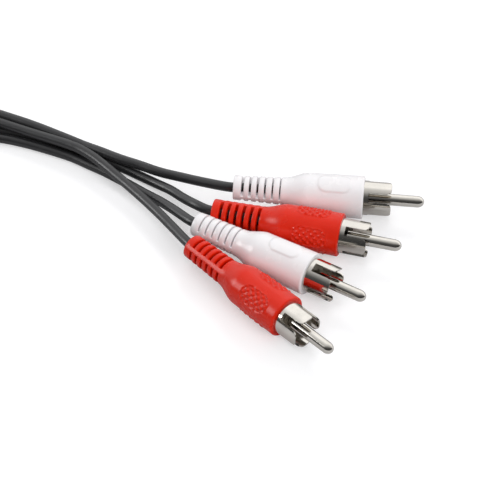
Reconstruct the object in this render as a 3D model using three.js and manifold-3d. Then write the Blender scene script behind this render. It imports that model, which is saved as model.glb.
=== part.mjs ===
// A stereo phono audio cable. Both ends of a black twin lead split into two tails, and each tail
// ends in a moulded plug, white or red. The rest of the lead lies in a round coil held by a tie.
// Sizes are in millimetres and angles in degrees. +Z is up, and everything lies on the floor, z = 0.
// A plug is made along its own +X axis, with x = 0 at the rear end of its boot.

import * as THREE from 'three';
import { mergeVertices } from 'three/addons/utils/BufferGeometryUtils.js';
import Module from 'manifold-3d';

const wasm = await Module();
wasm.setup();

// Clearance between pieces that touch on the real cable
const fit = 0.3;

// How far a cutter reaches past what it cuts
const overcut = 1;

// Cord: one strand is round, and the twin lead is two strands side by side. A tail is on its
// plug's axis at bootRun behind and in front of the boot's rear end.
const cordDiameter = 2.7;
const cordRadius = cordDiameter / 2;
const twinWidth = 2 * cordDiameter;
const cordSides = 8;
const cordStep = 2.2 * cordDiameter;
const tailStep = 1.1 * cordDiameter;
const bootRun = 1.5;

// Boot: the ribbed strain relief at the rear of the moulded shell
const bootLength = 13.7;
const bootRearRadius = 3.35;
const bootFrontRadius = 3.8;
const collarLength = 2.2;
const slotCount = 6;
const slotWidth = 0.8;
const ribWidth = 1.3;
const spineWidth = 1.5;

// Shoulder and body of the moulded shell
const shoulderLength = 6.8;
const bodyLength = 15.2;
const bodyRearRadius = 5.6;
const bodyFrontRadius = 5.9;
const edgeRounding = 0.4;
const shellLength = bootLength + shoulderLength + bodyLength;

// Grip pads, raised round the body. A red plug has them on all sides, and a white one on the two
// sides between its spines.
const redPads = [0, 90, 180, 270];
const whitePads = [90, 270];
const padLength = 9.5;
const padFrontGap = 3.3;
const padHalfAngle = 29;
const padHeight = 0.3;
const padCornerRadius = 1.8;

// Ground sleeve, with petals in front and a neck and a solder tag behind
const sleeveRadius = 4.75;
const sleeveWall = 0.4;
const sleeveReach = 7.5;
const sleeveSeat = 3.4;
const sleeveFloor = 0.6;
const petalCount = 4;
const petalGap = 2.6;
const petalRootGap = 1.3;
const petalCornerRadius = 1.4;
const neckRadius = 2.9;
const neckLength = 5.5;
const tagLength = 4.6;
const tagWidth = 2.2;
const sleeveRear = shellLength - sleeveSeat;
const sleeveTip = shellLength + sleeveReach;
const neckRear = sleeveRear - neckLength;

// Centre pin, with a thin shank through the insulator and a solder cup at its rear end
const pinRadius = 1.6;
const pinReach = 16.5;
const pinNoseLength = 1.9;
const shankRadius = 0.8;
const solderCupLength = 3.2;
const solderCupRadius = 1.15;
const solderCupBoreRadius = 0.75;
const solderCupDepth = 2;
const pinTip = shellLength + pinReach;

// Insulator between the sleeve and the pin
const insulatorDiscLength = 1.3;
const insulatorTail = 0.8;
const insulatorDiscRear = sleeveRear + sleeveFloor + fit;
const insulatorFront = insulatorDiscRear + insulatorDiscLength;
const insulatorRear = neckRear - insulatorTail;

// Inner mould round the soldered joints, inside the shell
const innerMouldRadius = 4.3;
const innerMouldRearRadius = 2.8;
const innerMouldTaper = 3.6;
const innerMouldGrip = 2.2;
const innerMouldInset = 2.8;
const innerMouldRear = bootLength + innerMouldInset;
const innerMouldFront = sleeveRear - fit;
const cordEnd = innerMouldRear + innerMouldGrip + fit;

// Bared conductors: the core wire to the pin and the twisted shield to the sleeve's tag
const coreRadius = 0.4;
const shieldRadius = 0.35;
const wireSides = 8;
const solderCupRear = insulatorRear - fit - solderCupLength;

// Facets round each kind of turned piece
const shellFacets = 20;
const sleeveFacets = 28;
const pinFacets = 12;
const innerFacets = 12;
const shoulderSteps = 5;
const edgeSteps = 2;
const cornerSteps = 3;
const noseSteps = 4;
const shieldSteps = 5;

// Coil of the spare lead, with its turns in columns and layers, and its tie
const coilCentre = new THREE.Vector2(-142, 40.9);
const coilMeanRadius = 32;
const coilColumns = 2;
const coilLayers = 3;
const turnGap = 0.2;
const coilFacets = 32;
const tieAngle = 180;
const tieWidth = 6;
const tieThickness = 0.6;
const coilWidth = coilColumns * (twinWidth + turnGap);
const coilHeight = coilLayers * (cordDiameter + turnGap);

// Where each plug lies: the rear end of its boot on the floor plan, the way it points clockwise
// from +X, the turn of the plug about its axis, the turn of its sleeve in the shell, and its pads
const whiteA = { rear: [-19.3, 28.3], heading: 6.4, turn: -79, sleeveTurn: -11, pads: whitePads };
const redA = { rear: [-30.4, 6.2], heading: 45.8, turn: 48, sleeveTurn: 38, pads: redPads };
const redB = { rear: [-24.9, 19.2], heading: 14.9, turn: -23, sleeveTurn: 6, pads: redPads };
const whiteB = { rear: [-29.3, 14.3], heading: 31.5, turn: 85, sleeveTurn: -26, pads: whitePads };

// Routes of the leads from the coil to the split, and of the tails from the split to the boots
const leadRouteA = [
  [-112.6, 68.6, 6],
  [-105.2, 65.9, 5.2],
  [-98.7, 63.4, 4.6],
  [-92.2, 60.7, 4.4],
  [-85.8, 57.9, 4.4],
  [-78.4, 54.5, 4.4],
  [-71.2, 51, 4.4],
  [-63.9, 47.2, 4.4],
  [-60.3, 45.1, 4.4],
];
const leadRouteB = [
  [-101.7, 44.1, 1.35],
  [-99.1, 50.1, 1.35],
  [-95.7, 53.1, 1.35],
  [-91.3, 54.9, 1.35],
  [-85.8, 54.6, 1.35],
  [-78.5, 52.6, 1.35],
  [-71.3, 49.8, 1.35],
  [-64, 46.5, 1.35],
  [-59.5, 43.7, 1.35],
];
const tailRouteWhiteA = [
  [-59.3, 46.2, 4.4],
  [-56.7, 44.7, 4.3],
  [-51.1, 41.6, 4.3],
  [-45.4, 38.9, 4.3],
  [-39.8, 36.1, 4.4],
  [-34.2, 33.9, 4.7],
  [-28.6, 31.5, 5.3],
];
const tailRouteRedA = [
  [-60.7, 43.7, 4.4],
  [-56.6, 39.3, 4.6],
  [-52.2, 35, 4.6],
  [-47.9, 30.2, 4.5],
  [-43.6, 24.9, 4.6],
  [-39.3, 19.1, 4.9],
  [-36, 14.2, 5.3],
];
const tailRouteRedB = [
  [-58.5, 44.8, 1.35],
  [-53.8, 42.7, 1.4],
  [-49.7, 40.4, 1.4],
  [-45.5, 37.6, 1.5],
  [-41.2, 34.5, 1.8],
  [-36.7, 30.5, 2.9],
  [-33.2, 26.2, 4.2],
  [-29.6, 21.7, 6.1],
];
const tailRouteWhiteB = [
  [-60, 42.3, 1.35],
  [-55.5, 39.4, 1.4],
  [-51.6, 36.6, 1.4],
  [-48.1, 33.9, 1.5],
  [-43.8, 30.2, 1.9],
  [-39.6, 26.2, 2.9],
  [-35.6, 21.2, 4.6],
];

// Materials
const whiteVinyl = new THREE.MeshStandardMaterial({ color: 0xf1eff0, roughness: 0.45 });
const redVinyl = new THREE.MeshStandardMaterial({ color: 0xd0301c, roughness: 0.45 });
const nickel = new THREE.MeshStandardMaterial({ color: 0xc9c4bc, roughness: 0.2, metalness: 1 });
const clearPlastic = new THREE.MeshStandardMaterial({ color: 0xd9d6cf, roughness: 0.5 });
const blackVinyl = new THREE.MeshStandardMaterial({ color: 0x262627, roughness: 0.5 });
const copper = new THREE.MeshStandardMaterial({ color: 0xb86b3c, roughness: 0.35, metalness: 1 });
const tiePlastic = new THREE.MeshStandardMaterial({ color: 0x1c1c1d, roughness: 0.6 });

// A closed mesh as a solid that can be cut and joined
function solidOf(geometry) {
  const bare = new THREE.BufferGeometry();
  bare.setAttribute('position', geometry.getAttribute('position'));
  bare.setIndex(geometry.getIndex());
  const merged = mergeVertices(bare, 1e-4);
  const corners = merged.getIndex().array;
  const triangles = [];
  for (let i = 0; i < corners.length; i += 3) {
    const [a, b, c] = corners.slice(i, i + 3);
    if (a !== b && b !== c && c !== a) {
      triangles.push(a, b, c);
    }
  }
  const mesh = new wasm.Mesh({
    numProp: 3,
    vertProperties: new Float32Array(merged.getAttribute('position').array),
    triVerts: new Uint32Array(triangles),
  });
  return new wasm.Manifold(mesh);
}

// A solid back as a geometry
function geometryOf(solid) {
  const mesh = solid.getMesh();
  const geometry = new THREE.BufferGeometry();
  geometry.setAttribute('position', new THREE.BufferAttribute(mesh.vertProperties, 3));
  geometry.setIndex(new THREE.BufferAttribute(mesh.triVerts, 1));
  geometry.computeVertexNormals();
  return geometry;
}

// A piece turned about the X axis from [x, radius] points. The outline runs from rear to front,
// and starts and ends on the axis or closes on itself.
function turned(outline, facets) {
  const points = outline.map(([x, radius]) => new THREE.Vector2(radius, x));
  const geometry = new THREE.LatheGeometry(points, facets);
  geometry.rotateZ(-Math.PI / 2);
  return solidOf(geometry);
}

// A plain round bar along the X axis
function bar(start, end, radius, facets) {
  return turned([[start, 0], [start, radius], [end, radius], [end, 0]], facets);
}

// An outline drawn in the plane of X and the way round the plug, as a prism up to that height
function prismOf(outline, depth) {
  const options = { depth, bevelEnabled: false, curveSegments: cornerSteps };
  return solidOf(new THREE.ExtrudeGeometry(outline, options));
}

// A block that reaches from one corner to the other
function block(low, high) {
  const geometry = new THREE.BoxGeometry(high[0] - low[0], high[1] - low[1], high[2] - low[2]);
  geometry.translate((low[0] + high[0]) / 2, (low[1] + high[1]) / 2, (low[2] + high[2]) / 2);
  return solidOf(geometry);
}

// Points on a smooth step from one radius to another
function smoothStep(startX, endX, startRadius, endRadius) {
  const points = [];
  for (let i = 0; i <= shoulderSteps; i += 1) {
    const share = i / shoulderSteps;
    const rise = share * share * (3 - 2 * share);
    const radius = startRadius + (endRadius - startRadius) * rise;
    points.push([startX + (endX - startX) * share, radius]);
  }
  return points;
}

// Points on the quarter round at the front edge of a turned piece
function frontEdge(frontX, radius, rounding) {
  const points = [];
  for (let i = 0; i <= edgeSteps; i += 1) {
    const angle = (i / edgeSteps) * Math.PI / 2;
    const x = frontX - rounding + rounding * Math.sin(angle);
    points.push([x, radius - rounding + rounding * Math.cos(angle)]);
  }
  return points;
}

// The shell's outline from the rear collar to the front face, with no cavity. Lift moves its
// skin outwards, for the pads.
function shellOutline(lift) {
  const shoulderEnd = bootLength + shoulderLength;
  const shoulder = smoothStep(bootLength, shoulderEnd, bootFrontRadius + lift, bodyRearRadius + lift);
  return [
    [0, 0],
    [0, bootRearRadius - edgeRounding + lift],
    [edgeRounding, bootRearRadius + lift],
    ...shoulder,
    ...frontEdge(shellLength, bodyFrontRadius + lift, edgeRounding),
    [shellLength, 0],
  ];
}

// The upright prism that bounds one grip pad, seen from above its middle
function padPrism() {
  const halfWidth = (bodyFrontRadius + padHeight) * Math.sin(THREE.MathUtils.degToRad(padHalfAngle));
  const front = shellLength - padFrontGap;
  const rear = front - padLength;
  const corner = padCornerRadius;
  const outline = new THREE.Shape();
  outline.moveTo(rear + corner, -halfWidth);
  outline.lineTo(front - corner, -halfWidth);
  outline.absarc(front - corner, -halfWidth + corner, corner, -Math.PI / 2, 0);
  outline.absarc(front - corner, halfWidth - corner, corner, 0, Math.PI / 2);
  outline.absarc(rear + corner, halfWidth - corner, corner, Math.PI / 2, Math.PI);
  outline.absarc(rear + corner, -halfWidth + corner, corner, Math.PI, 1.5 * Math.PI);
  return prismOf(outline, bodyFrontRadius + overcut);
}

// The raised grip pads, each turned that far round the body from its top
function gripPads(pads) {
  const skin = turned(shellOutline(padHeight), shellFacets);
  const core = bar(0, shellLength, bodyRearRadius - padHeight, shellFacets);
  const prism = padPrism();
  let prisms = prism.rotate([pads[0], 0, 0]);
  for (const pad of pads.slice(1)) {
    prisms = prisms.add(prism.rotate([pad, 0, 0]));
  }
  return prisms.intersect(skin.subtract(core));
}

// The slots across the boot. They go down to the cord on both sides and leave two spines.
function bootSlots() {
  const reach = bootFrontRadius + overcut;
  const halfSpine = spineWidth / 2;
  let slots = null;
  for (let i = 0; i < slotCount; i += 1) {
    const start = collarLength + i * (slotWidth + ribWidth);
    const end = start + slotWidth;
    const near = block([start, -reach, -reach], [end, -halfSpine, reach]);
    const far = block([start, halfSpine, -reach], [end, reach, reach]);
    const pair = near.add(far);
    slots = slots ? slots.add(pair) : pair;
  }
  return slots;
}

// The room inside the shell for the cord, the inner mould and the seated end of the sleeve
function shellCavity() {
  const passage = cordRadius + fit;
  return turned([
    [-overcut, 0],
    [-overcut, passage],
    [innerMouldRear - fit, passage],
    [innerMouldRear - fit, innerMouldRearRadius + fit],
    [innerMouldRear + innerMouldTaper - fit, innerMouldRadius + fit],
    [innerMouldFront, innerMouldRadius + fit],
    [innerMouldFront, sleeveRadius + fit],
    [shellLength + overcut, sleeveRadius + fit],
    [shellLength + overcut, 0],
  ], shellFacets);
}

// The moulded shell: boot, shoulder and body in one piece
function shellGeometry(pads) {
  const body = turned(shellOutline(0), shellFacets);
  const padded = body.add(gripPads(pads));
  const hollow = padded.subtract(shellCavity());
  return geometryOf(hollow.subtract(bootSlots()));
}

// The gap between two petals of the sleeve, which opens in two rounds at the tip
function petalGapPrism() {
  const half = petalGap / 2;
  const corner = petalCornerRadius;
  const root = shellLength + petalRootGap;
  const tip = sleeveTip;
  const past = tip + corner;
  const outline = new THREE.Shape();
  outline.moveTo(root, -half);
  outline.lineTo(tip - corner, -half);
  outline.absarc(tip - corner, -half - corner, corner, Math.PI / 2, 0, true);
  outline.lineTo(past, -half - corner);
  outline.lineTo(past, half + corner);
  outline.lineTo(tip, half + corner);
  outline.absarc(tip - corner, half + corner, corner, 0, -Math.PI / 2, true);
  outline.lineTo(root, half);
  return prismOf(outline, sleeveRadius + overcut);
}

// The ground sleeve: a cup of petals, a neck behind it and a solder tag on the neck
function sleeveGeometry() {
  const bore = sleeveRadius - sleeveWall;
  const neckBore = neckRadius - sleeveWall;
  const cup = turned([
    [neckRear, neckBore],
    [neckRear, neckRadius],
    [sleeveRear, neckRadius],
    [sleeveRear, sleeveRadius],
    [sleeveTip, sleeveRadius],
    [sleeveTip, bore],
    [sleeveRear + sleeveFloor, bore],
    [sleeveRear + sleeveFloor, neckBore],
    [neckRear, neckBore],
  ], sleeveFacets);
  const tagRoot = neckRear + sleeveWall;
  const tagRing = turned([
    [neckRear - tagLength, neckBore],
    [neckRear - tagLength, neckRadius],
    [tagRoot, neckRadius],
    [tagRoot, neckBore],
    [neckRear - tagLength, neckBore],
  ], sleeveFacets);
  const tagSide = tagWidth / 2;
  const tagStrip = block([neckRear - tagLength, -tagSide, 0], [tagRoot, tagSide, neckRadius + overcut]);
  let sleeve = cup.add(tagRing.intersect(tagStrip));
  const prism = petalGapPrism();
  for (let i = 0; i < petalCount; i += 1) {
    const turn = (360 / petalCount) * (i + 0.5);
    sleeve = sleeve.subtract(prism.rotate([turn, 0, 0]));
  }
  return geometryOf(sleeve);
}

// The centre pin, from the bored solder cup to the round nose
function pinGeometry() {
  const nose = [];
  for (let i = 0; i <= noseSteps; i += 1) {
    const angle = (i / noseSteps) * Math.PI / 2;
    nose.push([pinTip - pinNoseLength + pinNoseLength * Math.sin(angle), pinRadius * Math.cos(angle)]);
  }
  nose[noseSteps][1] = 0;
  const cupFront = solderCupRear + solderCupLength;
  const outline = [
    [solderCupRear + solderCupDepth, 0],
    [solderCupRear + solderCupDepth, solderCupBoreRadius],
    [solderCupRear, solderCupBoreRadius],
    [solderCupRear, solderCupRadius],
    [cupFront, solderCupRadius],
    [cupFront, shankRadius],
    [insulatorFront + fit, shankRadius],
    [insulatorFront + fit, pinRadius],
    ...nose,
  ];
  return geometryOf(turned(outline, pinFacets));
}

// The insulator: a disc on the sleeve's floor and a tail through its neck, bored for the shank
function insulatorGeometry() {
  const bore = shankRadius + fit;
  const discRadius = sleeveRadius - sleeveWall - fit;
  const tailRadius = neckRadius - sleeveWall - fit;
  return geometryOf(turned([
    [insulatorRear, bore],
    [insulatorRear, tailRadius],
    [insulatorDiscRear, tailRadius],
    [insulatorDiscRear, discRadius],
    [insulatorFront, discRadius],
    [insulatorFront, bore],
    [insulatorRear, bore],
  ], innerFacets));
}

// The inner mould: it grips the cord's jacket and shuts in the soldered joints and the neck
function innerMouldGeometry() {
  const grip = cordRadius + fit;
  const room = neckRadius + fit;
  const gripEnd = innerMouldRear + innerMouldGrip;
  return geometryOf(turned([
    [innerMouldRear, grip],
    [innerMouldRear, innerMouldRearRadius],
    [innerMouldRear + innerMouldTaper, innerMouldRadius],
    [innerMouldFront, innerMouldRadius],
    [innerMouldFront, room],
    [gripEnd + room - grip, room],
    [gripEnd, grip],
    [innerMouldRear, grip],
  ], innerFacets));
}

// The core wire's bared end, which stands in the pin's solder cup
function coreWireGeometry() {
  const end = solderCupRear + solderCupDepth - fit;
  return geometryOf(bar(cordEnd + fit, end, coreRadius, wireSides));
}

// A round wire or cord along a path
function wireAlong(path, radius, sides, steps) {
  const section = new THREE.Shape();
  for (let i = 0; i < sides; i += 1) {
    const angle = ((i + 0.5) / sides) * 2 * Math.PI;
    const point = [radius * Math.cos(angle), radius * Math.sin(angle)];
    if (i === 0) {
      section.moveTo(...point);
    } else {
      section.lineTo(...point);
    }
  }
  section.closePath();
  return new THREE.ExtrudeGeometry(section, { steps, extrudePath: path });
}

// The shield, twisted into one strand, from the end of the jacket to the inside of the tag
function shieldGeometry() {
  const start = cordEnd + fit;
  const rearHeight = cordRadius - shieldRadius;
  const tagHeight = neckRadius - sleeveWall - fit - shieldRadius;
  const tagRear = neckRear - tagLength;
  const path = new THREE.CatmullRomCurve3([
    new THREE.Vector3(start, 0, rearHeight),
    new THREE.Vector3(start + shieldRadius, 0, rearHeight),
    new THREE.Vector3(tagRear + shieldRadius, 0, tagHeight),
    new THREE.Vector3(tagRear + tagLength / 2, 0, tagHeight),
  ]);
  return wireAlong(path, shieldRadius, wireSides, shieldSteps);
}

// How high a plug's axis lies when it rests on the floor, on a pad or on the body beside it
function restHeight(place) {
  const padRadius = bodyFrontRadius + padHeight;
  let height = bodyFrontRadius;
  for (const pad of place.pads) {
    const fromFloor = THREE.MathUtils.euclideanModulo(pad + place.turn, 360) - 180;
    const pastPad = THREE.MathUtils.degToRad(Math.max(0, Math.abs(fromFloor) - padHalfAngle));
    height = Math.max(height, padRadius * Math.cos(pastPad));
  }
  return height;
}

// A point on a plug's axis, that far in front of the rear end of its boot
function axisPoint(place, x) {
  const heading = THREE.MathUtils.degToRad(place.heading);
  return new THREE.Vector3(
    place.rear[0] + x * Math.cos(heading),
    place.rear[1] - x * Math.sin(heading),
    restHeight(place),
  );
}

// One whole plug as a group, with its sleeve and shield turned on their own
function plug(name, vinyl, place) {
  const sleeveGroup = new THREE.Group();
  sleeveGroup.rotation.x = THREE.MathUtils.degToRad(place.sleeveTurn);
  sleeveGroup.add(named(`${name}_sleeve`, sleeveGeometry(), nickel));
  sleeveGroup.add(named(`${name}_shield_wire`, shieldGeometry(), copper));
  const group = new THREE.Group();
  group.add(named(`${name}_shell`, shellGeometry(place.pads), vinyl));
  group.add(named(`${name}_pin`, pinGeometry(), nickel));
  group.add(named(`${name}_insulator`, insulatorGeometry(), clearPlastic));
  group.add(named(`${name}_inner_mould`, innerMouldGeometry(), clearPlastic));
  group.add(named(`${name}_core_wire`, coreWireGeometry(), copper));
  group.add(sleeveGroup);
  group.rotation.order = 'ZYX';
  group.rotation.z = -THREE.MathUtils.degToRad(place.heading);
  group.rotation.x = THREE.MathUtils.degToRad(place.turn);
  group.position.copy(axisPoint(place, 0));
  return group;
}

// A tail: its route over the floor, then straight along the plug's axis to the inner mould
function tailGeometry(route, place) {
  const points = route.map((point) => new THREE.Vector3(...point));
  for (const x of [-bootRun, bootRun, cordEnd / 2, cordEnd]) {
    points.push(axisPoint(place, x));
  }
  const path = new THREE.CatmullRomCurve3(points);
  const steps = Math.round(path.getLength() / tailStep);
  return wireAlong(path, cordRadius, cordSides, steps);
}

// A twin lead along its route: two round strands joined side by side, in a flat outline
function leadGeometry(route) {
  const half = twinWidth / 2;
  const round = cordRadius;
  const corners = [
    [round, half - round],
    [round * Math.SQRT1_2, half - round + round * Math.SQRT1_2],
    [0, half],
    [-round * Math.SQRT1_2, half - round + round * Math.SQRT1_2],
    [-round, half - round],
  ];
  const section = new THREE.Shape();
  section.moveTo(...corners[0]);
  for (const corner of corners.slice(1)) {
    section.lineTo(...corner);
  }
  for (const [x, y] of corners) {
    section.lineTo(-x, -y);
  }
  section.closePath();
  const path = new THREE.CatmullRomCurve3(route.map((point) => new THREE.Vector3(...point)));
  const steps = Math.round(path.getLength() / cordStep);
  return new THREE.ExtrudeGeometry(section, { steps, extrudePath: path });
}

// The tie's band as a block with a window, round the coil's section at the tie
function tieSolid(gap) {
  const halfWidth = coilWidth / 2;
  const near = coilMeanRadius - halfWidth - gap;
  const far = coilMeanRadius + halfWidth + gap;
  const depth = tieThickness + 2 * gap;
  const half = tieWidth / 2 + gap;
  const past = half + overcut;
  const top = coilHeight + gap;
  const outer = block([near, -half, -gap], [far, half, top]);
  const inner = block([near + depth, -past, depth - gap], [far - depth, past, top - depth]);
  return outer.subtract(inner).rotate([0, 0, tieAngle]);
}

// The coil's outer shape, a ring with a groove under the tie
function coilGeometry() {
  const inner = coilMeanRadius - coilWidth / 2;
  const outer = coilMeanRadius + coilWidth / 2;
  const corner = cordRadius;
  const outline = [
    [inner, corner],
    [inner + corner, 0],
    [outer - corner, 0],
    [outer, corner],
    [outer, coilHeight - corner],
    [outer - corner, coilHeight],
    [inner + corner, coilHeight],
    [inner, coilHeight - corner],
    [inner, corner],
  ];
  const points = outline.map(([radius, height]) => new THREE.Vector2(radius, height));
  const lathe = new THREE.LatheGeometry(points, coilFacets);
  lathe.rotateX(Math.PI / 2);
  return geometryOf(solidOf(lathe).subtract(tieSolid(fit)));
}

// A named mesh
function named(name, geometry, material) {
  const mesh = new THREE.Mesh(geometry, material);
  mesh.name = name;
  return mesh;
}

// The spare lead's coil and its tie
function coil() {
  const group = new THREE.Group();
  group.add(named('lead_coil', coilGeometry(), blackVinyl));
  group.add(named('coil_tie', geometryOf(tieSolid(0)), tiePlastic));
  group.position.set(coilCentre.x, coilCentre.y, 0);
  return group;
}

const cable = new THREE.Group();
cable.add(plug('end_a_white', whiteVinyl, whiteA));
cable.add(plug('end_a_red', redVinyl, redA));
cable.add(plug('end_b_white', whiteVinyl, whiteB));
cable.add(plug('end_b_red', redVinyl, redB));
cable.add(named('end_a_white_tail', tailGeometry(tailRouteWhiteA, whiteA), blackVinyl));
cable.add(named('end_a_red_tail', tailGeometry(tailRouteRedA, redA), blackVinyl));
cable.add(named('end_b_white_tail', tailGeometry(tailRouteWhiteB, whiteB), blackVinyl));
cable.add(named('end_b_red_tail', tailGeometry(tailRouteRedB, redB), blackVinyl));
cable.add(named('end_a_lead', leadGeometry(leadRouteA), blackVinyl));
cable.add(named('end_b_lead', leadGeometry(leadRouteB), blackVinyl));
cable.add(coil());

export default cable;
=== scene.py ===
"""A stereo phono audio cable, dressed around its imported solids.

Both ends of a black twin lead split into two tails. Each tail ends in a moulded plug, white or
red, with a nickel-plated sleeve and pin. The spare lead lies in a round coil held by a strap.
Plugs are made in millimetres along their own +X axis, with x = 0 at the rear end of the boot.
"""

import logging
import math
from dataclasses import dataclass, field
from enum import Enum
from typing import Any, Sequence

import bpy
import numpy as np
from mathutils import Matrix, Vector


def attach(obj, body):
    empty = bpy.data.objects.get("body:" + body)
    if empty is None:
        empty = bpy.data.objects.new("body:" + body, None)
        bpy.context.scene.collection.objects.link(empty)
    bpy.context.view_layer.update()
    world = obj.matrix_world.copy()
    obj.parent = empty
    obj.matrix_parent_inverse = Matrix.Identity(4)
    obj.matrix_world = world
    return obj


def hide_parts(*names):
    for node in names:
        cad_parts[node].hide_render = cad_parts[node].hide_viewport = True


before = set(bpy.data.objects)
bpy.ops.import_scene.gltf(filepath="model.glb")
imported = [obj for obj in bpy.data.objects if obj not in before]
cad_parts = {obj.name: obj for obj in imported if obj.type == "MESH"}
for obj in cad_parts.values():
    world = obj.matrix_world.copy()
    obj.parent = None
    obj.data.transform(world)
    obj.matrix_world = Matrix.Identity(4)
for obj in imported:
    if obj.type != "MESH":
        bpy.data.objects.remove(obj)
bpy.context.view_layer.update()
log = logging.getLogger("cable")

MM = 0.001
BODY = "root"
RED_PADS = (0.0, 90.0, 180.0, 270.0)
WHITE_PADS = (90.0, 270.0)
Point = tuple[float, float, float]
Levels = tuple[tuple[float, float], ...]
Faces = list[tuple[int, ...]]
Socket = bpy.types.NodeSocket


class Slot(Enum):
    """The record's material slots."""

    WHITE = "white_vinyl"
    RED = "red_vinyl"
    NICKEL = "nickel_plate"
    NATURAL = "natural_plastic"
    BLACK = "black_vinyl"
    COPPER = "copper"
    TIE = "tie_plastic"


class Grip(Enum):
    """How the pads on a plug's body are finished in the mould."""

    SMOOTH = "smooth"
    KNURLED = "knurled"


# Materials


def linear(code: str) -> tuple[float, float, float, float]:
    """Turn six sRGB hex digits into linear red, green, blue and an alpha of 1."""
    parts = [int(code[i:i + 2], 16) / 255 for i in (0, 2, 4)]
    return (*(p / 12.92 if p <= 0.04045 else ((p + 0.055) / 1.055) ** 2.4 for p in parts), 1.0)


def add_node(
    tree: bpy.types.NodeTree,
    kind: str,
    settings: dict[str, Any] | None = None,
    inputs: dict[str | int, Any] | None = None,
) -> bpy.types.Node:
    """Add a node, set its properties and fill or link its inputs.

    Args:
        tree: the node tree.
        kind: the node's type name.
        settings: properties of the node by name.
        inputs: by input name or number, a value, or the output socket that is linked to it.

    Returns:
        The new node.
    """
    node = tree.nodes.new(kind)
    for key, value in (settings or {}).items():
        setattr(node, key, value)
    for key, value in (inputs or {}).items():
        if isinstance(value, Socket):
            tree.links.new(value, node.inputs[key])
        else:
            node.inputs[key].default_value = value
    return node


def empty_material(name: str) -> tuple[bpy.types.Material, bpy.types.NodeTree]:
    """Make a material with an empty node tree.

    Args:
        name: the material's name.

    Returns:
        The material and its tree.
    """
    material = bpy.data.materials.new(name)
    material.use_nodes = True
    material.node_tree.nodes.clear()
    return material, material.node_tree


@dataclass(frozen=True)
class Look:
    """Hex colours and roughness of a surface, where its noise is low and where it is high.

    The roughness changes over the stretch of the noise that is given as change.
    """

    colours: tuple[str, str]
    roughness: tuple[float, float]
    change: tuple[float, float] = (0.3, 0.7)


@dataclass
class FinishTree:
    """The node tree of one finish, with the steps that all finishes share."""

    name: str
    material: bpy.types.Material = field(init=False)
    tree: bpy.types.NodeTree = field(init=False)
    place: Socket = field(init=False)

    def __post_init__(self) -> None:
        """Start an empty tree that reads each point's place on its piece."""
        self.material, self.tree = empty_material(self.name)
        self.place = add_node(self.tree, "ShaderNodeTexCoord").outputs["Object"]

    def noise(self, size_mm: float, detail: float) -> Socket:
        """Add noise from 0 to 1 with features of that size, and that many finer levels."""
        return add_node(self.tree, "ShaderNodeTexNoise", inputs={
            "Vector": self.place, "Scale": 1 / (size_mm * MM), "Detail": detail}).outputs[0]

    def bump(self, height: Socket, depth_mm: float, under: Socket | None = None) -> Socket:
        """Add a fine relief.

        Args:
            height: its height, from 0 to 1.
            depth_mm: how deep it is, in millimetres.
            under: a coarser relief below it.

        Returns:
            The surface's direction.
        """
        inputs = {"Height": height, "Distance": depth_mm * MM, "Strength": 1.0}
        if under is not None:
            inputs["Normal"] = under
        return add_node(self.tree, "ShaderNodeBump", inputs=inputs).outputs[0]

    def close(self, shares: tuple[Socket, Socket], look: Look, relief: Socket,
              more: dict[str, Any]) -> bpy.types.Material:
        """Add the shader.

        Args:
            shares: the noises that the colour and the roughness follow.
            look: the ranges of both.
            relief: the surface's direction.
            more: the shader's other inputs by name.

        Returns:
            The finished material.
        """
        shade, colour = (linear(code) for code in look.colours)
        tint = add_node(self.tree, "ShaderNodeMix", {"data_type": "RGBA"}, {
            0: shares[0], 6: shade, 7: colour})
        gloss = add_node(self.tree, "ShaderNodeMapRange", inputs={
            0: shares[1], 1: look.change[0], 2: look.change[1],
            3: look.roughness[0], 4: look.roughness[1]})
        shader = add_node(self.tree, "ShaderNodeBsdfPrincipled", inputs={
            "Base Color": tint.outputs[2], "Roughness": gloss.outputs[0], "Normal": relief, **more})
        add_node(self.tree, "ShaderNodeOutputMaterial", inputs={"Surface": shader.outputs[0]})
        return self.material


@dataclass(frozen=True)
class MouldedVinyl:
    """Plasticised PVC, injection moulded over the plug in a finely spark-eroded tool.

    To the eye it is a dense, even colour with a satin sheen, faintly blotched gloss and a grain
    too fine to see but for its soft highlight. Light goes a little way into it.
    """

    name: str
    look: Look
    glow: tuple[float, float, float]
    ior: float = 1.45
    soft_share: float = 0.12
    soft_mm: float = 1.0
    grain_mm: float = 0.22
    grain_height_mm: float = 0.004
    blotch_mm: float = 5.0

    def build(self) -> bpy.types.Material:
        """Make the material.

        Returns:
            The finished material.
        """
        tree = FinishTree(self.name)
        blotch = tree.noise(self.blotch_mm, detail=3.0)
        relief = tree.bump(tree.noise(self.grain_mm, detail=2.0), self.grain_height_mm)
        return tree.close((blotch, blotch), self.look, relief, {
            "IOR": self.ior, "Subsurface Weight": self.soft_share, "Subsurface Radius": self.glow,
            "Subsurface Scale": self.soft_mm * MM})


@dataclass(frozen=True)
class NickelPlate:
    """Bright nickel plated on drawn and turned brass.

    It is a warm mirror with a faint brushing round it from the die or the lathe, and a few
    cloudy places where fingers have dulled it.
    """

    name: str = "bright_nickel_plate"
    look: Look = Look(("C4C0B9", "DDD9D2"), (0.15, 0.07), (0.35, 0.7))
    line_mm: float = 0.12
    line_height_mm: float = 0.0012
    cloud_mm: float = 3.0

    def build(self) -> bpy.types.Material:
        """Make the material.

        Returns:
            The finished material.
        """
        tree = FinishTree(self.name)
        cloud = tree.noise(self.cloud_mm, detail=4.0)
        relief = tree.bump(tree.noise(self.line_mm, detail=1.0), self.line_height_mm)
        return tree.close((cloud, cloud), self.look, relief, {"Metallic": 1.0})


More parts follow.
